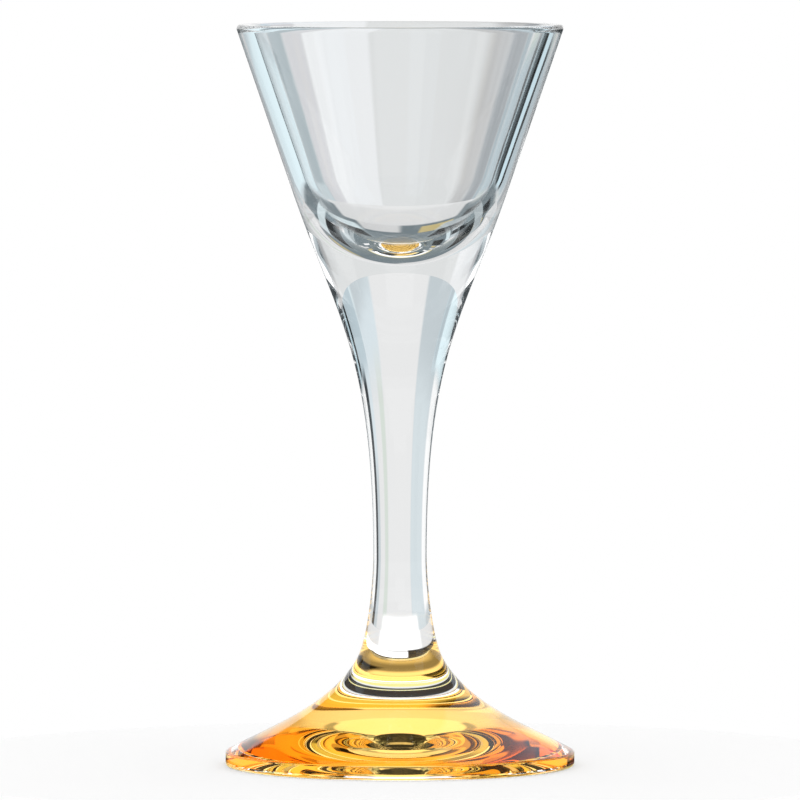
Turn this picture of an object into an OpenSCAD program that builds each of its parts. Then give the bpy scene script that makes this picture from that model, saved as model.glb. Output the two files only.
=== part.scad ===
// Cordial glass: a conical bowl on a waisted stem and a dished foot, with an amber coat under the foot.
// Lengths are in millimetres and angles in degrees. The origin is on the table, under the middle of the foot.

/* [Bowl] */
// Height of the bowl, from its seam with the stem to the top of the lip
bowl_h = 36.8; // [32:0.1:44]
// Largest diameter of the rounded lip
rim_d = 48.4; // [44:0.1:54]
// Lean of the straight wall, from upright
wall_lean = 19; // [16:0.5:21]
// Height of the straight part of the outer wall, down from the top of the lip
straight_h = 24.3; // [18:0.1:28]
// Thickness of the wall, square to its face
wall_t = 2.4; // [1.6:0.1:3.2]
// Glass between the seam and the bottom of the hollow
base_t = 2.25; // [1.5:0.05:4]
// Height of the round bottom of the hollow
hollow_round_h = 12; // [9:0.1:15]
// Outer rounding of the lip
lip_outer_r = 0.6; // [0.3:0.05:0.9]
// Inner rounding of the lip
lip_inner_r = 1; // [0.4:0.05:1.2]

/* [Stem] */
// Height of the stem, from its seam with the foot to its seam with the bowl
stem_h = 57.5; // [45:0.1:75]
// Diameter of the seam with the bowl
bowl_seam_d = 22.7; // [20:0.1:25]
// Lean of the outside at the seam with the bowl, outwards from upright
bowl_seam_lean = 21.8; // [18:0.1:26]
// Diameter of the waist
waist_d = 7.9; // [6:0.1:10]
// Height of the waist above the seam with the foot
waist_h = 15.3; // [12:0.1:20]
// Diameter of the seam with the foot
foot_seam_d = 13; // [11:0.1:16]
// Lean of the outside at the seam with the foot, inwards from upright
foot_seam_lean = 30.5; // [24:0.1:36]

/* [Foot] */
// Height of the foot, from the table to its seam with the stem
foot_h = 15.7; // [13:0.1:19]
// Diameter of the foot
foot_d = 51.8; // [46:0.1:58]
// Height at which the top of the foot would meet its upright edge
edge_h = 2.1; // [1.8:0.1:3]
// Slope of the top of the foot at its edge, from level
edge_slope = 28; // [22:0.5:32]
// Rounding of the edge at the top
edge_top_r = 0.45; // [0.2:0.05:0.7]
// Rounding of the edge at the bottom
edge_bottom_r = 0.5; // [0.2:0.05:0.8]
// Width of the flat ring that the foot stands on
ring_w = 1.4; // [1:0.1:4]
// Depth of the dish in its middle
dish_h = 4.5; // [2:0.1:5.5]

/* [Colour coat] */
// Thickness of the coat
coat_t = 0.2; // [0.1:0.05:0.4]
// Height of the coat's edge above the table
coat_edge_h = 0.4; // [0.2:0.05:0.8]

/* [Curves] */
// Pull of the bowl's outside at the seam, as a share of the curve's height
bowl_seam_pull_share = 0.32; // [0.25:0.01:0.4]
// Pull of the bowl's outside where the straight wall begins, as a share of the curve's height
bowl_wall_pull_share = 0.41; // [0.3:0.01:0.5]
// Pull of the stem's outside below the bowl, as a share of the height above the waist
stem_top_pull_share = 0.27; // [0.2:0.01:0.35]
// Pull of the stem's outside above the waist, as a share of the height above the waist
waist_upper_pull_share = 0.54; // [0.4:0.01:0.6]
// Pull of the stem's outside under the waist, as a share of the height of the waist
waist_lower_pull_share = 0.2; // [0.1:0.01:0.4]
// Pull of the stem's outside above the foot, as a share of the height of the waist
stem_end_pull_share = 0.24; // [0.15:0.01:0.4]
// Pull of the foot's top under the stem, as a share of the height of its slope
foot_seam_pull_share = 0.58; // [0.4:0.01:0.65]
// Pull of the foot's top at the edge, as a share of the height of its slope
foot_edge_pull_share = 0.58; // [0.4:0.01:0.7]
// Pull of the hollow's bottom in its middle, as a share of the radius where it meets the wall
hollow_middle_pull_share = 0.45; // [0.35:0.01:0.6]
// Pull of the hollow's bottom at the wall, as a share of the height of the round bottom
hollow_wall_pull_share = 0.6; // [0.4:0.01:0.65]

/* [Hidden] */

// Straight pieces of each curve, of each rounding, and of the turn round the axis
curve_steps = 24;
round_steps = 8;
$fn = 128;

// Upright and level, as leans
upright = 0;
level = 90;

// Heights above the table
bowl_z = foot_h + stem_h;
waist_z = foot_h + waist_h;
glass_h = bowl_z + bowl_h;
wall_z = glass_h - straight_h;
hollow_z = bowl_z + base_t;
hollow_wall_z = hollow_z + hollow_round_h;

// The outer wall is drawn on from the lip's rounding to the height of the lip
lip_line_r = rim_d / 2 - lip_outer_r + lip_outer_r * (1 + sin(wall_lean)) / cos(wall_lean);
outer_lip = [rim_d / 2 - lip_outer_r, glass_h - lip_outer_r];
inner_lip = [
    wall_r(glass_h, wall_t) + lip_inner_r * (1 - sin(wall_lean)) / cos(wall_lean),
    glass_h - lip_inner_r
];

// Points that two curves share
bowl_seam = [bowl_seam_d / 2, bowl_z];
waist = [waist_d / 2, waist_z];
foot_seam = [foot_seam_d / 2, foot_h];
wall_start = [wall_r(wall_z, 0), wall_z];
hollow_wall = [wall_r(hollow_wall_z, wall_t), hollow_wall_z];

// The foot's rounded edge
edge_turn = level - edge_slope;
edge_top = [foot_d / 2 - edge_top_r, edge_h - edge_top_r * tan(edge_turn / 2)];
edge_bottom = [foot_d / 2 - edge_bottom_r, edge_bottom_r];
slope_start = edge_top + edge_top_r * [cos(edge_turn), sin(edge_turn)];

// The dish fills the standing ring, and is part of a ball whose middle is under the table
dish_edge_r = foot_d / 2 - edge_bottom_r - ring_w;
dish_r = (pow(dish_edge_r, 2) + pow(dish_h, 2)) / (2 * dish_h);
dish_middle_z = dish_h - dish_r;

// Radius at height z of the wall's outside, moved in by depth square to the wall
function wall_r(z, depth) = lip_line_r - depth / cos(wall_lean) - (glass_h - z) * tan(wall_lean);

// Direction that leans outwards by an angle from upright
function lean(angle) = [sin(angle), cos(angle)];

// Point at share t of the curve drawn by four points
function curve_point(p, t) =
    pow(1 - t, 3) * p[0] + 3 * pow(1 - t, 2) * t * p[1] + 3 * (1 - t) * t * t * p[2] + pow(t, 3) * p[3];

// Smooth curve from low to high, which leaves and arrives at the given leans
function curve(low, low_lean, low_pull, high, high_lean, high_pull) = [
    for (i = [0:curve_steps])
        curve_point(
            [low, low + low_pull * lean(low_lean), high - high_pull * lean(high_lean), high],
            i / curve_steps
        )
];

// Round corner about a middle point
function round_corner(middle, r, from, to) = [
    for (i = [0:round_steps])
        let (angle = from + (to - from) * i / round_steps)
            middle + r * [cos(angle), sin(angle)]
];

function reversed(points) = [for (i = [len(points) - 1:-1:0]) points[i]];

bowl_curve = curve(
    bowl_seam, bowl_seam_lean, bowl_seam_pull_share * (wall_z - bowl_z),
    wall_start, wall_lean, bowl_wall_pull_share * (wall_z - bowl_z)
);
hollow_curve = curve(
    [0, hollow_z], level, hollow_middle_pull_share * hollow_wall[0],
    hollow_wall, wall_lean, hollow_wall_pull_share * hollow_round_h
);
stem_upper_curve = curve(
    waist, upright, waist_upper_pull_share * (bowl_z - waist_z),
    bowl_seam, bowl_seam_lean, stem_top_pull_share * (bowl_z - waist_z)
);
stem_lower_curve = curve(
    foot_seam, -foot_seam_lean, stem_end_pull_share * waist_h,
    waist, upright, waist_lower_pull_share * waist_h
);
foot_curve = curve(
    slope_start, edge_slope - level, foot_edge_pull_share * (foot_h - edge_h),
    foot_seam, -foot_seam_lean, foot_seam_pull_share * (foot_h - edge_h)
);

module clear_glass() color([0.86, 0.92, 0.94, 0.4]) children();

module amber() color([1, 0.68, 0.08, 0.7]) children();

// Clear cup with a thick base
module bowl() {
    outline = concat(
        [[0, bowl_z]],
        bowl_curve,
        round_corner(outer_lip, lip_outer_r, -wall_lean, level),
        round_corner(inner_lip, lip_inner_r, level, 2 * level - wall_lean),
        reversed(hollow_curve)
    );
    clear_glass() rotate_extrude() polygon(outline);
}

// Solid stem with a waist
module stem() {
    outline = concat([[0, foot_h]], stem_lower_curve, stem_upper_curve, [[0, bowl_z]]);
    clear_glass() rotate_extrude() polygon(outline);
}

// Ball section that fits the dish, made smaller by depth
module dish_section(depth) translate([0, dish_middle_z]) circle(r = dish_r - depth);

// Conical foot with a dish under it
module foot() {
    outline = concat(
        [[0, 0]],
        round_corner(edge_bottom, edge_bottom_r, -level, 0),
        round_corner(edge_top, edge_top_r, 0, edge_turn),
        foot_curve,
        [[0, foot_h]]
    );
    clear_glass() rotate_extrude() difference() {
        polygon(outline);
        dish_section(0);
    }
}

// Amber coat on the dish, clear of the table
module foot_coat() {
    amber() rotate_extrude() difference() {
        intersection() {
            dish_section(0);
            translate([0, coat_edge_h]) square([dish_edge_r, dish_h]);
        }
        dish_section(coat_t);
    }
}

bowl();
stem();
foot();
foot_coat();
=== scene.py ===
"""Cordial glass: a clear bowl, stem and foot fused into one glass, with an amber coat under the foot."""
import math
from collections import namedtuple

import bpy
import numpy as np
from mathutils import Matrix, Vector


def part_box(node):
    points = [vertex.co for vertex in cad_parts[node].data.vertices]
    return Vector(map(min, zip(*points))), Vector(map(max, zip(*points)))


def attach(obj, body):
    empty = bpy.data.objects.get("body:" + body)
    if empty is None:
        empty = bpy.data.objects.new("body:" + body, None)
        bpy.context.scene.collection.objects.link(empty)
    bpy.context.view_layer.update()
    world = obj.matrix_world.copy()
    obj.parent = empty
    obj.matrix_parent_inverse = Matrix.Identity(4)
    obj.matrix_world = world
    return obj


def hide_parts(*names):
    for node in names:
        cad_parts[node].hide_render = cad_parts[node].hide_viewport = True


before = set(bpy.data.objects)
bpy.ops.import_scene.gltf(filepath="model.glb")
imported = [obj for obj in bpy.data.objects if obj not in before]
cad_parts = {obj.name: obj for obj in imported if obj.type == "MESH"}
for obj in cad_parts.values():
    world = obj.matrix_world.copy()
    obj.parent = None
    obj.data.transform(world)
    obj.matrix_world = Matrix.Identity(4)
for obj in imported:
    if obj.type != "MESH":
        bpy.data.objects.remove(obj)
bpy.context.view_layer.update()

MM = 0.001

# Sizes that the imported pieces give
BOWL_LOW, BOWL_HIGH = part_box("bowl")
_, STEM_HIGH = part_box("stem")
_, FOOT_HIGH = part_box("foot")
COAT_LOW, COAT_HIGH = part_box("foot_coat")
GLASS_H = BOWL_HIGH.z
BOWL_Z = BOWL_LOW.z
FOOT_H = FOOT_HIGH.z
RIM_R = BOWL_HIGH.x
BOWL_SEAM_R = STEM_HIGH.x
FOOT_R = FOOT_HIGH.x
DISH_H = COAT_HIGH.z
COAT_EDGE_H = COAT_LOW.z
COAT_EDGE_R = COAT_HIGH.x

# Sizes within the bowl
WALL_LEAN = 19
STRAIGHT_H = 24.3 * MM
WALL_T = 2.4 * MM
BASE_T = 2.25 * MM
HOLLOW_ROUND_H = 12 * MM
LIP_OUTER_R = 0.6 * MM
LIP_INNER_R = 1 * MM
BOWL_SEAM_PULL_SHARE = 0.32
BOWL_WALL_PULL_SHARE = 0.41
HOLLOW_MIDDLE_PULL_SHARE = 0.45
HOLLOW_WALL_PULL_SHARE = 0.6

# Sizes within the stem
BOWL_SEAM_LEAN = 21.8
WAIST_R = 3.95 * MM
WAIST_H = 15.3 * MM
FOOT_SEAM_R = 6.5 * MM
FOOT_SEAM_LEAN = 30.5
STEM_TOP_PULL_SHARE = 0.27
WAIST_UPPER_PULL_SHARE = 0.54
WAIST_LOWER_PULL_SHARE = 0.2
STEM_END_PULL_SHARE = 0.24

# Sizes within the foot and its coat
EDGE_H = 2.1 * MM
EDGE_SLOPE = 28
EDGE_TOP_R = 0.45 * MM
EDGE_BOTTOM_R = 0.5 * MM
FOOT_SEAM_PULL_SHARE = 0.58
FOOT_EDGE_PULL_SHARE = 0.58
COAT_T = 0.2 * MM
COAT_GAP = 0.01 * MM

# Fineness of the meshes
CURVE_STEPS = 40
ROUND_STEPS = 10
TURN_STEPS = 192
SCREEN_STEPS = 96

# Points nearer to the axis than this lie on it
ON_AXIS_R = 0.01 * MM

# Real glass has about 1.5. With less, the edges seen through the foot lie nearer to the photo's.
GLASS_IOR = 1.3

UPRIGHT = 0
LEVEL = 90


# Outlines in the plane of radius and height


def lean(angle):
    """Direction that leans outwards by an angle from upright."""
    return np.array([math.sin(math.radians(angle)), math.cos(math.radians(angle))])


def curve(low, low_lean, low_pull, high, high_lean, high_pull):
    """Smooth curve from low to high: its points, and the way it runs at each of them."""
    p0, p3 = np.array(low), np.array(high)
    p1 = p0 + low_pull * lean(low_lean)
    p2 = p3 - high_pull * lean(high_lean)
    t = np.linspace(0, 1, CURVE_STEPS + 1)[:, None]
    s = 1 - t
    points = s**3 * p0 + 3 * s**2 * t * p1 + 3 * s * t**2 * p2 + t**3 * p3
    ways = s**2 * (p1 - p0) + 2 * s * t * (p2 - p1) + t**2 * (p3 - p2)
    return points, ways


def arc(middle, r, start, end, steps=ROUND_STEPS):
    """Round corner about a middle point, from one angle to another."""
    angles = np.radians(np.linspace(start, end, steps + 1))
    spokes = np.stack([np.cos(angles), np.sin(angles)], 1)
    turn = math.copysign(1, end - start)
    return np.array(middle) + r * spokes, turn * np.stack([-spokes[:, 1], spokes[:, 0]], 1)


def line(start, end):
    """Straight stretch."""
    points = np.array([start, end])
    return points, np.repeat(points[1:] - points[:1], 2, 0)


def reversed_run(run):
    points, ways = run
    return points[::-1], -ways[::-1]


def wall_r(z, depth):
    """Radius of the bowl's outer wall at a height, moved in by depth square to the wall."""
    tilt = math.radians(WALL_LEAN)
    line_r = RIM_R - LIP_OUTER_R + LIP_OUTER_R * (1 + math.sin(tilt)) / math.cos(tilt)
    return line_r - depth / math.cos(tilt) - (GLASS_H - z) * math.tan(tilt)


# Shader nodes


def feed(tree, value, socket):
    """Links a socket to another node's output, or sets it."""
    if isinstance(value, bpy.types.NodeSocket):
        tree.links.new(value, socket)
    else:
        socket.default_value = value


def add(tree, kind, **inputs):
    node = tree.nodes.new(kind)
    for name, value in inputs.items():
        feed(tree, value, node.inputs[name])
    return node


def maths(tree, operation, *values):
    node = tree.nodes.new("ShaderNodeMath")
    node.operation = operation
    for value, socket in zip(values, node.inputs):
        feed(tree, value, socket)
    return node.outputs[0]


def soft_step(tree, value, low, high):
    """Rises smoothly from zero at low to one at high."""
    node = tree.nodes.new("ShaderNodeMapRange")
    node.interpolation_type = "SMOOTHSTEP"
    for name, number in (("Value", value), ("From Min", low), ("From Max", high)):
        feed(tree, number, node.inputs[name])
    return node.outputs[0]


def span(tree, value, ends, soft):
    """One between two ends and zero beyond them, with soft edges."""
    rise, fall = (soft_step(tree, value, end - soft / 2, end + soft / 2) for end in ends)
    return maths(tree, "SUBTRACT", rise, fall)


def painted(tree, under, over, share):
    """One colour painted over another."""
    node = tree.nodes.new("ShaderNodeMix")
    node.data_type = "RGBA"
    sockets = {socket.identifier: socket for socket in node.inputs}
    for name, value in (("Factor_Float", share), ("A_Color", under), ("B_Color", over)):
        feed(tree, value, sockets[name])
    return next(socket for socket in node.outputs if socket.identifier == "Result_Color")


def panel_share(tree, panel, side, height):
    """How much of a panel shows at a side and a height."""
    across = span(tree, side, panel.side, panel.soft_side)
    up = span(tree, height, panel.height, panel.soft_height)
    return maths(tree, "MULTIPLY", across, up)


def mixed_shader(tree, share, first, second, output=None):
    node = tree.nodes.new("ShaderNodeMixShader")
    feed(tree, share, node.inputs[0])
    tree.links.new(first.outputs[0], node.inputs[1])
    tree.links.new(second.outputs[0], node.inputs[2])
    if output:
        tree.links.new(node.outputs[0], output.inputs["Surface"])
    return node


# Finishes

# Waves and haze of the clear glass, the colours that it varies between, and how far each piece is drawn out
WAVE_CYCLES = 70
WAVE_DEPTH = 0.003 * MM
HAZE_CYCLES = 400
GLASS_HAZE = 0.004
GLASS_TINT = (0.985, 0.996, 1, 1)
GLASS_WHITE = (1, 1, 1, 1)
BOWL_STRETCH = 2
STEM_STRETCH = 4
FOOT_STRETCH = 1
MOTTLE_DETAIL = 2

# The coat's spray
COAT_CYCLES = 160
COAT_DEPTH = 0.001 * MM
COAT_HAZE = 0.01
COAT_THIN = (1, 0.65, 0.2, 1)
COAT_DENSE = (1, 0.6, 0.14, 1)


def new_material(name):
    material = bpy.data.materials.new(name)
    material.use_nodes = True
    tree = material.node_tree
    tree.nodes.clear()
    return material, tree, tree.nodes.new("ShaderNodeOutputMaterial")


def mottle(tree, cycles, stretch=1):
    """Soft spots between zero and one, so many to the metre, drawn out along the axis."""
    place = tree.nodes.new("ShaderNodeTexCoord").outputs["Object"]
    drawn = add(tree, "ShaderNodeMapping", Vector=place, Scale=(1, 1, 1 / stretch))
    spots = add(tree, "ShaderNodeTexNoise", Vector=drawn.outputs[0], Scale=cycles, Detail=MOTTLE_DETAIL)
    return spots.outputs["Fac"]


def ripple(tree, height, depth):
    """A slightly uneven surface."""
    return add(tree, "ShaderNodeBump", Height=height, Distance=depth).outputs[0]


def clear_glass(name, stretch):
    """Fire-polished glass: faint waves along the axis, a trace of colour, and a little haze in spots."""
    material, tree, output = new_material(name)
    waves = mottle(tree, WAVE_CYCLES, stretch)
    shader = add(
        tree, "ShaderNodeBsdfPrincipled", IOR=GLASS_IOR,
        Roughness=maths(tree, "MULTIPLY", mottle(tree, HAZE_CYCLES), GLASS_HAZE),
        Normal=ripple(tree, waves, WAVE_DEPTH),
    )
    feed(tree, painted(tree, GLASS_TINT, GLASS_WHITE, waves), shader.inputs["Base Color"])
    feed(tree, 1, shader.inputs["Transmission Weight"])
    tree.links.new(shader.outputs["BSDF"], output.inputs["Surface"])
    return material


def fused_seam():
    """A seam in melted glass, which light crosses unchanged."""
    material, tree, output = new_material("fused_seam")
    shader = tree.nodes.new("ShaderNodeBsdfTransparent")
    tree.links.new(shader.outputs["BSDF"], output.inputs["Surface"])
    return material


def amber_coat():
    """The coat's free face, which tints what it mirrors back into the glass and what it lets through."""
    material, tree, output = new_material("amber_coat")
    density = mottle(tree, COAT_CYCLES)
    shader = add(
        tree, "ShaderNodeBsdfGlass", IOR=GLASS_IOR, Color=painted(tree, COAT_THIN, COAT_DENSE, density),
        Roughness=maths(tree, "MULTIPLY", density, COAT_HAZE), Normal=ripple(tree, density, COAT_DEPTH),
    )
    tree.links.new(shader.outputs["BSDF"], output.inputs["Surface"])
    return material


# Pieces

# The circle that every outline is turned round
angles = np.linspace(0, 2 * math.pi, TURN_STEPS, endpoint=False)
CIRCLE = np.stack([np.cos(angles), np.sin(angles)], 1)


def joined_points(runs):
    """The points of all runs in their order, and whether they end where they started."""
    points = [runs[0][0][0][:1]]
    for (run_points, _), _ in runs:
        points.append(run_points[1:])
    points = np.concatenate(points)
    closed = np.allclose(points[0], points[-1])
    return (points[:-1] if closed else points), closed


def turned(points, closed):
    """Vertices of the points turned about the axis, and the vertices of each point's ring."""
    vertices, rings = [], []
    for r, z in points:
        on_axis = r < ON_AXIS_R
        first = len(vertices)
        rings.append(np.full(TURN_STEPS, first) if on_axis else first + np.arange(TURN_STEPS))
        vertices.extend((x, y, z) for x, y in (np.zeros((1, 2)) if on_axis else r * CIRCLE))
    if closed:
        rings.append(rings[0])
    return vertices, rings


def bands(runs, rings):
    """Faces between rings, the number of each face's material, and the normals of its corners."""
    faces, finishes, normals = [], [], []
    neighbours = zip(rings, rings[1:])
    for (_, ways), finish in runs:
        outward = np.stack([ways[:, 1], -ways[:, 0]], 1)
        outward /= np.linalg.norm(outward, axis=1)[:, None]
        around = [np.insert(n[0] * CIRCLE, 2, n[1], 1) for n in outward]
        for low_n, high_n in zip(around, around[1:]):
            low, high = next(neighbours)
            for i in range(TURN_STEPS):
                j = (i + 1) % TURN_STEPS
                corners = [
                    (low[i], low_n[i]), (low[j], low_n[j]),
                    (high[j], high_n[j]), (high[i], high_n[i]),
                ]
                if low[i] == low[j]:
                    corners.pop(0)
                elif high[i] == high[j]:
                    corners.pop()
                faces.append([int(v) for v, _ in corners])
                normals.extend(n for _, n in corners)
                finishes.append(finish)
    return faces, finishes, normals


def revolve(name, node, runs, materials):
    """Turns an outline about the axis into one closed mesh that stands for a node.

    Each run is its points and ways and the number of its material. The runs follow each other with the
    glass on their left, and start and end on the axis or where they started.
    """
    vertices, rings = turned(*joined_points(runs))
    faces, finishes, normals = bands(runs, rings)
    mesh = bpy.data.meshes.new(name)
    mesh.from_pydata(vertices, [], faces)
    for material in materials:
        mesh.materials.append(material)
    mesh.polygons.foreach_set("material_index", finishes)
    mesh.polygons.foreach_set("use_smooth", [True] * len(faces))
    mesh.normals_split_custom_set(normals)
    piece = bpy.data.objects.new(name, mesh)
    bpy.context.scene.collection.objects.link(piece)
    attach(piece, "root")
    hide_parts(node)


# Numbers of a run's material
OUTSIDE, SEAM = 0, 1

# Heights and points that runs share
wall_z = GLASS_H - STRAIGHT_H
hollow_z = BOWL_Z + BASE_T
hollow_wall_z = hollow_z + HOLLOW_ROUND_H
waist = (WAIST_R, FOOT_H + WAIST_H)
bowl_seam = (BOWL_SEAM_R, BOWL_Z)
foot_seam = (FOOT_SEAM_R, FOOT_H)
upper_stem_h = BOWL_Z - FOOT_H - WAIST_H


def bowl_runs():
    """Seam, outside, lip and hollow."""
    tilt = math.radians(WALL_LEAN)
    outside = curve(
        bowl_seam, BOWL_SEAM_LEAN, BOWL_SEAM_PULL_SHARE * (wall_z - BOWL_Z),
        (wall_r(wall_z, 0), wall_z), WALL_LEAN, BOWL_WALL_PULL_SHARE * (wall_z - BOWL_Z),
    )
    outer_lip = arc((RIM_R - LIP_OUTER_R, GLASS_H - LIP_OUTER_R), LIP_OUTER_R, -WALL_LEAN, LEVEL)
    inner_lip_r = wall_r(GLASS_H, WALL_T) + LIP_INNER_R * (1 - math.sin(tilt)) / math.cos(tilt)
    inner_lip = arc((inner_lip_r, GLASS_H - LIP_INNER_R), LIP_INNER_R, LEVEL, 2 * LEVEL - WALL_LEAN)
    hollow_wall = (wall_r(hollow_wall_z, WALL_T), hollow_wall_z)
    hollow = reversed_run(curve(
        (0, hollow_z), LEVEL, HOLLOW_MIDDLE_PULL_SHARE * hollow_wall[0],
        hollow_wall, WALL_LEAN, HOLLOW_WALL_PULL_SHARE * HOLLOW_ROUND_H,
    ))
    return [
        (line((0, BOWL_Z), bowl_seam), SEAM),
        (outside, OUTSIDE),
        (line(outside[0][-1], outer_lip[0][0]), OUTSIDE),
        (outer_lip, OUTSIDE),
        (line(outer_lip[0][-1], inner_lip[0][0]), OUTSIDE),
        (inner_lip, OUTSIDE),
        (line(inner_lip[0][-1], hollow_wall), OUTSIDE),
        (hollow, OUTSIDE),
    ]


def stem_runs():
    """Lower seam, flare, upper flare and upper seam."""
    lower = curve(
        foot_seam, -FOOT_SEAM_LEAN, STEM_END_PULL_SHARE * WAIST_H,
        waist, UPRIGHT, WAIST_LOWER_PULL_SHARE * WAIST_H,
    )
    upper = curve(
        waist, UPRIGHT, WAIST_UPPER_PULL_SHARE * upper_stem_h,
        bowl_seam, BOWL_SEAM_LEAN, STEM_TOP_PULL_SHARE * upper_stem_h,
    )
    return [
        (line((0, FOOT_H), foot_seam), SEAM),
        (lower, OUTSIDE),
        (upper, OUTSIDE),
        (line(bowl_seam, (0, BOWL_Z)), SEAM),
    ]


# The dish is part of a ball whose middle is under the table
coat_rise = DISH_H - COAT_EDGE_H
dish_r = (COAT_EDGE_R**2 + coat_rise**2) / (2 * coat_rise)
dish_middle_z = DISH_H - dish_r


def dish_angle(z, depth=0):
    """Angle, from level, of the ball's radius to its height z, on the ball made smaller by depth."""
    return math.degrees(math.asin((z - dish_middle_z) / (dish_r - depth)))


def dish_arc(depth, low_z):
    """The dish from the axis down to a height, on the ball made smaller by depth."""
    return arc((0, dish_middle_z), dish_r - depth, LEVEL, dish_angle(low_z, depth), CURVE_STEPS)


def foot_runs():
    """Dish, standing ring, edge, slope and seam."""
    edge_turn = LEVEL - EDGE_SLOPE
    slope_h = FOOT_H - EDGE_H
    edge_bottom = arc((FOOT_R - EDGE_BOTTOM_R, EDGE_BOTTOM_R), EDGE_BOTTOM_R, -LEVEL, 0)
    edge_top_z = EDGE_H - EDGE_TOP_R * math.tan(math.radians(edge_turn / 2))
    edge_top = arc((FOOT_R - EDGE_TOP_R, edge_top_z), EDGE_TOP_R, 0, edge_turn)
    slope = curve(
        edge_top[0][-1], EDGE_SLOPE - LEVEL, FOOT_EDGE_PULL_SHARE * slope_h,
        foot_seam, -FOOT_SEAM_LEAN, FOOT_SEAM_PULL_SHARE * slope_h,
    )
    coated = dish_arc(0, COAT_EDGE_H)
    bare = arc((0, dish_middle_z), dish_r, dish_angle(COAT_EDGE_H), dish_angle(0))
    return [
        (coated, SEAM),
        (bare, OUTSIDE),
        (line(bare[0][-1], edge_bottom[0][0]), OUTSIDE),
        (edge_bottom, OUTSIDE),
        (line(edge_bottom[0][-1], edge_top[0][0]), OUTSIDE),
        (edge_top, OUTSIDE),
        (slope, OUTSIDE),
        (line(foot_seam, (0, FOOT_H)), SEAM),
    ]


def coat_runs():
    """Free face, edge, and the face that lies on the dish."""
    free = dish_arc(COAT_T, COAT_EDGE_H)
    laid = reversed_run(dish_arc(COAT_GAP, COAT_EDGE_H))
    return [
        (free, OUTSIDE),
        (line(free[0][-1], laid[0][0]), OUTSIDE),
        (laid, SEAM),
    ]


seam = fused_seam()
revolve("glass_bowl", "bowl", bowl_runs(), [clear_glass("clear_bowl", BOWL_STRETCH), seam])
revolve("glass_stem", "stem", stem_runs(), [clear_glass("clear_stem", STEM_STRETCH), seam])
revolve("glass_foot", "foot", foot_runs(), [clear_glass("clear_foot", FOOT_STRETCH), seam])
revolve("coat_amber", "foot_coat", coat_runs(), [amber_coat(), seam])


# Studio

# What the glass shows is painted in panels. A panel has its reach to the sides and in height, its colour,
# and how soft its edges are. Sides are in degrees, to the right from straight behind, and repeat with the
# turn that is given for each surface. ALL_ROUND reaches past a full turn.
Panel = namedtuple("Panel", "name side height colour soft_side soft_height")
QUARTER_TURN = 90
HALF_TURN = 180
FULL_TURN = 360
ALL_ROUND = (-200, 200)

# The floor is small, and its edge meets the white of the background. Here the height of a panel is its
# distance from the axis.
FLOOR_R = 75 * MM
FLOOR_GAP = 0.02 * MM
FLOOR_COLOUR = 0.8
# What light from the glass meets on the floor where no ring lies: a painted shadow, which shows beside the
# foot's edge.
FLOOR_SHADE_IN_GLASS = 0.04
# Rings of painted light and shade that light from the glass meets: painted light under the middle of the
# foot, a ring of painted shade under the dish, a bright pool of painted light under the foot, a bright ring
# and an amber ring of painted light cast by the coat at the foot's edge, a painted shadow to the right, a
# warm ring of painted light farther out, and darker ground beyond.
FLOOR = [
    Panel("middle", ALL_ROUND, (-5 * MM, 20 * MM), 0.9, 1, 2 * MM),
    Panel("dish", ALL_ROUND, (10.6 * MM, 17.2 * MM), 0.35, 1, 4 * MM),
    Panel("light_under_foot", ALL_ROUND, (17.2 * MM, 25 * MM), 1.5, 1, 3 * MM),
    Panel("edge", ALL_ROUND, (25.4 * MM, 26.95 * MM), 0.95, 1, 0.2 * MM),
    Panel("amber_light_at_edge", ALL_ROUND, (23.5 * MM, 26.6 * MM), (1, 0.93, 0.35), 1, 0.2 * MM),
    Panel("shadow_right", (4.5, 43), (14 * MM, 26.6 * MM), 0.02, 4, 1.5 * MM),
    Panel("warm_light_beyond", ALL_ROUND, (32 * MM, 45 * MM), (0.85, 0.78, 0.5), 1, 3 * MM),
    Panel("beyond", ALL_ROUND, (45 * MM, 90 * MM), (0.2, 0.24, 0.25), 1, 3 * MM),
]

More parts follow.
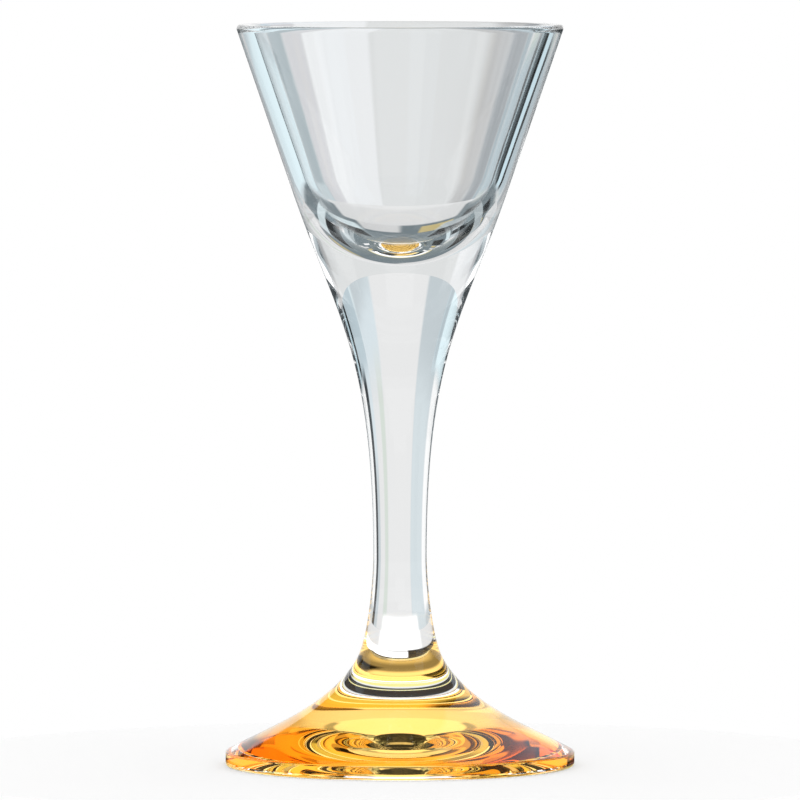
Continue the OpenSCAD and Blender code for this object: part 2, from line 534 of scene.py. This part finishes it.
# Four round screens: a low one round the foot, a funnel round the bowl, a flat ring under the bowl, and
# cards farther out. Heights are above the table, and on the flat ring they are distances from the axis.
OUTER_R = 31 * MM
OUTER_LOW = -2 * MM
OUTER = [
    Panel("pale", ALL_ROUND, (OUTER_LOW, 13.2 * MM), 0.82, 1, 0.4 * MM),
    Panel("white_middle", (-12, 12), (6 * MM, 17 * MM), 1.3, 4, 2 * MM),
    Panel("white", (-12, 44), (OUTER_LOW, 4.6 * MM), 1.7, 1, 0.5 * MM),
    Panel("white_right", (6, 44), (OUTER_LOW, 7.5 * MM), 1.7, 1, 1 * MM),
    Panel("dark_left", (-44, -3.5), (OUTER_LOW, 6 * MM), 0.03, 1, 1 * MM),
]
FUNNEL_SPREAD = 2
FUNNEL_Z = (78.1 * MM, 110 * MM)
FUNNEL_SOFT = 0.1 * MM
FUNNEL = [
    Panel("back", (-37, 37), FUNNEL_Z, (0.765, 0.775, 0.775), 2, FUNNEL_SOFT),
    Panel("left_light", (-22.2, -6.6), FUNNEL_Z, (0.89, 0.9, 0.91), 1.2, FUNNEL_SOFT),
    Panel("left_grey", (-29, -22.2), FUNNEL_Z, (0.7, 0.7, 0.72), 1.2, FUNNEL_SOFT),
    Panel("left_blue", (-37, -29), FUNNEL_Z, (0.46, 0.53, 0.56), 2, FUNNEL_SOFT),
    Panel("left_turn", (-37, -29), (77.5 * MM, 83.5 * MM), (0.62, 0.7, 0.73), 2, 2 * MM),
    Panel("right_grey", (20.2, 27), FUNNEL_Z, (0.54, 0.54, 0.54), 4.5, FUNNEL_SOFT),
    Panel("right_dark", (27, 34), FUNNEL_Z, (0.4, 0.42, 0.44), 2.5, FUNNEL_SOFT),
    Panel("right_blue", (34, 37), FUNNEL_Z, (0.42, 0.5, 0.54), 2, FUNNEL_SOFT),
]
UNDER_R = (27 * MM, 64 * MM)
UNDER_Z = 50 * MM
UNDER_WHITE_R = (46 * MM, 62 * MM)
UNDER = [
    Panel("left_white", (-60, -14), UNDER_WHITE_R, (0.7, 0.8, 0.83), 3, 3 * MM),
    Panel("left_dark", (-38, -15), (28.5 * MM, 46 * MM), 0.02, 3, 2 * MM),
    Panel("right_white", (14, 60), UNDER_WHITE_R, (0.45, 0.5, 0.52), 3, 3 * MM),
    Panel("right_dark", (15, 40), (27.5 * MM, 46 * MM), 0.01, 3, 2 * MM),
]
CARD_GAP = 54.6 * MM
CARD_ENDS = (64 * MM, 103 * MM)
CARD_Z = (69 * MM, 99 * MM)
CARD_SOFT = 8 * MM
CARDS = [
    Panel("right_light", (20, 46), CARD_Z, (0.52, 0.62, 0.67), 1, CARD_SOFT),
    Panel("right_line", (33.2, 38.4), CARD_Z, 0.01, 1, CARD_SOFT),
    Panel("right_blue", (38, 46), CARD_Z, (0.66, 0.84, 0.92), 1, CARD_SOFT),
    Panel("right_edge", (46, 62), CARD_Z, (0.1, 0.12, 0.13), 1, CARD_SOFT),
    Panel("right_black", (46, 50), CARD_Z, 0.01, 1, CARD_SOFT),
    Panel("left_blue", (-53, -20), CARD_Z, (0.82, 0.97, 1.02), 1, CARD_SOFT),
    Panel("left_grey", (-24, -20), CARD_Z, (0.5, 0.58, 0.62), 2, CARD_SOFT),
    Panel("left_edge", (-66, -53), CARD_Z, (0.14, 0.16, 0.17), 1, CARD_SOFT),
]

# The walls of the studio, as they are seen through the glass and mirrored in it. Heights are in degrees up
# from level. WALL_TURN is the side in the middle of each quarter turn.
WALL_TURN = -7
ROOM = (0.05, 0.055, 0.06)
THROUGH = [
    Panel("ground", ALL_ROUND, (-91, -15.5), (0.19, 0.23, 0.25), 1, 1.5),
    Panel("ground_right", (12, 28), (-36, -22), 0.02, 2, 2),
    Panel("ground_left", (-18, -12), (-41, -29), 1, 1.5, 2),
    Panel("ground_light", (-6, 0), (-31, -22), 0.7, 1, 1.5),
    Panel("ground_warm", (2.8, 9), (-33, -25.5), (0.62, 0.51, 0.25), 0.6, 1),
    Panel("wall", ALL_ROUND, (-16, 20), (0.57, 0.63, 0.66), 1, 1.5),
    Panel("left", (-31, -11), (-16, 6), (0.69, 0.76, 0.79), 2, 8),
    Panel("right_upper", (11, 32), (0, 13), (0.72, 0.8, 0.84), 2, 3),
    Panel("right_high", (25, 36.5), (12, 34), (0.85, 0.97, 1), 4, 4),
    Panel("right", (11, 25), (-16, 6), 0.82, 2, 8),
    Panel("right_line", (12.5, 17), (-16, 6), (0.69, 0.75, 0.69), 1.5, 8),
    Panel("back", (-11, 12), (-16, 20), 0.84, 1.5, 1.5),
    Panel("back_low", (-9, 9), (-23.5, -13.5), 0.76, 1.5, 1.5),
    Panel("back_top", (-12, 12), (14, 47), 1.6, 2, 2),
    Panel("back_high", (-22, 22), (19, 47), 1.6, 3, 2),
    Panel("left_white", (-53, -31), (-12, 22), 1.05, 4, 2),
    Panel("right_dark", (31, 39), (-16, 17), ROOM, 2, 3),
]
MIRRORED_ROOM = 0.03
MIRRORED = [
    Panel("low", ALL_ROUND, (-91, 0), (0.1, 0.12, 0.13), 1, 4),
    Panel("level", ALL_ROUND, (-2, 20), 1, 1, 3),
    Panel("softbox", (9, 40), (20, 56), (0.85, 1.05, 1.25), 4, 4),
]


def full_colour(colour):
    """A colour of four numbers, from a grey or from three numbers."""
    grey = isinstance(colour, (int, float))
    return (colour, colour, colour, 1) if grey else (*colour, 1)


def stage_object(name, vertices, faces, material):
    mesh = bpy.data.meshes.new(name)
    mesh.from_pydata(vertices, [], faces)
    mesh.materials.append(material)
    piece = bpy.data.objects.new(name, mesh)
    bpy.context.scene.collection.objects.link(piece)
    return piece


def place_round_axis(tree, place, period, turn=0):
    """The side of a place, repeated with a period, and its distance from the axis and its height."""
    x, y, z = (add(tree, "ShaderNodeSeparateXYZ", Vector=place).outputs[name] for name in "XYZ")
    angle = maths(tree, "DEGREES", maths(tree, "ARCTAN2", x, y))
    side = maths(tree, "WRAP", angle, turn + period / 2, turn - period / 2)
    r = maths(tree, "SQRT", maths(tree, "MULTIPLY_ADD", x, x, maths(tree, "MULTIPLY", y, y)))
    return side, r, z


def painted_panels(tree, panels, room, side, height):
    """A colour with the panels painted over it, in their order."""
    colour = full_colour(room)
    for panel in panels:
        share = panel_share(tree, panel, side, height)
        colour = painted(tree, colour, full_colour(panel.colour), share)
    return colour


def floor_finish():
    """White, with shadows, to the camera. Light from the glass meets painted rings of light and shade."""
    material, tree, output = new_material("floor")
    lit = add(tree, "ShaderNodeBsdfDiffuse", Color=full_colour(FLOOR_COLOUR))
    lift = add(tree, "ShaderNodeEmission", Strength=1 - FLOOR_COLOUR)
    white = tree.nodes.new("ShaderNodeAddShader")
    tree.links.new(lit.outputs[0], white.inputs[0])
    tree.links.new(lift.outputs[0], white.inputs[1])
    place = tree.nodes.new("ShaderNodeTexCoord").outputs["Object"]
    side, r, _ = place_round_axis(tree, place, FULL_TURN)
    rings = add(tree, "ShaderNodeEmission", Color=painted_panels(tree, FLOOR, FLOOR_SHADE_IN_GLASS, side, r))
    rays = tree.nodes.new("ShaderNodeLightPath").outputs
    in_glass = maths(tree, "MAXIMUM", rays["Is Glossy Ray"], rays["Is Transmission Ray"])
    mixed_shader(tree, in_glass, white, rings, output)
    material.cycles.emission_sampling = "NONE"
    return material


def pale_floor():
    vertices = [(FLOOR_R * x, FLOOR_R * y, -FLOOR_GAP) for x, y in CIRCLE]
    stage_object("floor", vertices, [range(TURN_STEPS)], floor_finish())


def screen_finish(name, panels, period, flat):
    """Panels on a clear screen. A flat screen is painted on top only, in distances from the axis."""
    material, tree, output = new_material(name)
    place = tree.nodes.new("ShaderNodeTexCoord").outputs["Object"]
    side, r, z = place_round_axis(tree, place, period)
    height = r if flat else z
    clear = 1.0
    for panel in panels:
        share = panel_share(tree, panel, side, height)
        clear = maths(tree, "MULTIPLY", clear, maths(tree, "SUBTRACT", 1.0, share))
    if flat:
        below = tree.nodes.new("ShaderNodeNewGeometry").outputs["Backfacing"]
        clear = maths(tree, "MAXIMUM", clear, below)
    colour = painted_panels(tree, panels, panels[0].colour, side, height)
    paint = add(tree, "ShaderNodeEmission", Color=colour)
    mixed_shader(tree, clear, paint, tree.nodes.new("ShaderNodeBsdfTransparent"), output)
    material.cycles.emission_sampling = "NONE"
    return material


def screen(name, low, high, panels, period, flat=False):
    """A round screen between two points of radius and height, which only light through the glass meets."""
    vertices, faces = [], []
    for i in range(SCREEN_STEPS):
        angle = 2 * math.pi * i / SCREEN_STEPS
        vertices += [(r * math.sin(angle), r * math.cos(angle), z) for r, z in (low, high)]
        after = (i + 1) % SCREEN_STEPS
        faces.append((2 * i, 2 * after, 2 * after + 1, 2 * i + 1))
    piece = stage_object(name, vertices, faces, screen_finish(name, panels, period, flat))
    piece.visible_camera = False
    piece.visible_diffuse = False
    piece.visible_glossy = False
    piece.visible_shadow = False


def screens():
    top = max(panel.height[1] + panel.soft_height for panel in OUTER)
    screen("screen_outer", (OUTER_R, 0), (OUTER_R, top), OUTER, QUARTER_TURN)
    ends = ((FUNNEL_SPREAD * wall_r(z, 0), z) for z in FUNNEL_Z)
    screen("screen_bowl", *ends, FUNNEL, HALF_TURN)
    ends = ((wall_r(z, -CARD_GAP), z) for z in CARD_ENDS)
    screen("screen_cards", *ends, CARDS, HALF_TURN)
    screen("screen_under_bowl", *((r, UNDER_Z) for r in UNDER_R), UNDER, FULL_TURN, flat=True)


def studio_world():
    """White to the camera and to the floor. Glass shows the panels."""
    world = bpy.data.worlds.new("studio")
    world.use_nodes = True
    bpy.context.scene.world = world
    tree = world.node_tree
    tree.nodes.clear()
    way = tree.nodes.new("ShaderNodeTexCoord").outputs["Generated"]
    side, _, rise = place_round_axis(tree, way, QUARTER_TURN, WALL_TURN)
    height = maths(tree, "DEGREES", maths(tree, "ARCSINE", rise))
    colour = painted_panels(tree, THROUGH, ROOM, side, height)
    through = add(tree, "ShaderNodeBackground", Color=colour)
    colour = painted_panels(tree, MIRRORED, MIRRORED_ROOM, side, height)
    mirrored = add(tree, "ShaderNodeBackground", Color=colour)
    white = add(tree, "ShaderNodeBackground", Color=full_colour(1))
    rays = tree.nodes.new("ShaderNodeLightPath").outputs
    plain = mixed_shader(tree, rays["Is Glossy Ray"], white, mirrored)
    output = tree.nodes.new("ShaderNodeOutputWorld")
    mixed_shader(tree, rays["Is Transmission Ray"], plain, through, output)


# The camera, fitted to the photo's outline: metres, degrees down from level, and millimetres
CAMERA_PLACE = (0, -1.58273, 0.14355)
CAMERA_TILT = 3.2272
CAMERA_LENS = 481.1
SENSOR_W = 36

# Bounces of light in the glass, and crossings of seams and clear screens
GLASS_BOUNCES = 32
CLEAR_CROSSINGS = 64


def camera():
    data = bpy.data.cameras.new("camera")
    data.sensor_width = SENSOR_W
    data.lens = CAMERA_LENS
    holder = bpy.data.objects.new("camera", data)
    holder.location = CAMERA_PLACE
    holder.rotation_euler = (math.radians(LEVEL - CAMERA_TILT), 0, 0)
    bpy.context.scene.collection.objects.link(holder)
    bpy.context.scene.camera = holder


pale_floor()
screens()
studio_world()
camera()
scene = bpy.context.scene
scene.view_settings.view_transform = "Standard"
scene.cycles.max_bounces = GLASS_BOUNCES
scene.cycles.transmission_bounces = GLASS_BOUNCES
scene.cycles.glossy_bounces = GLASS_BOUNCES
scene.cycles.transparent_max_bounces = CLEAR_CROSSINGS
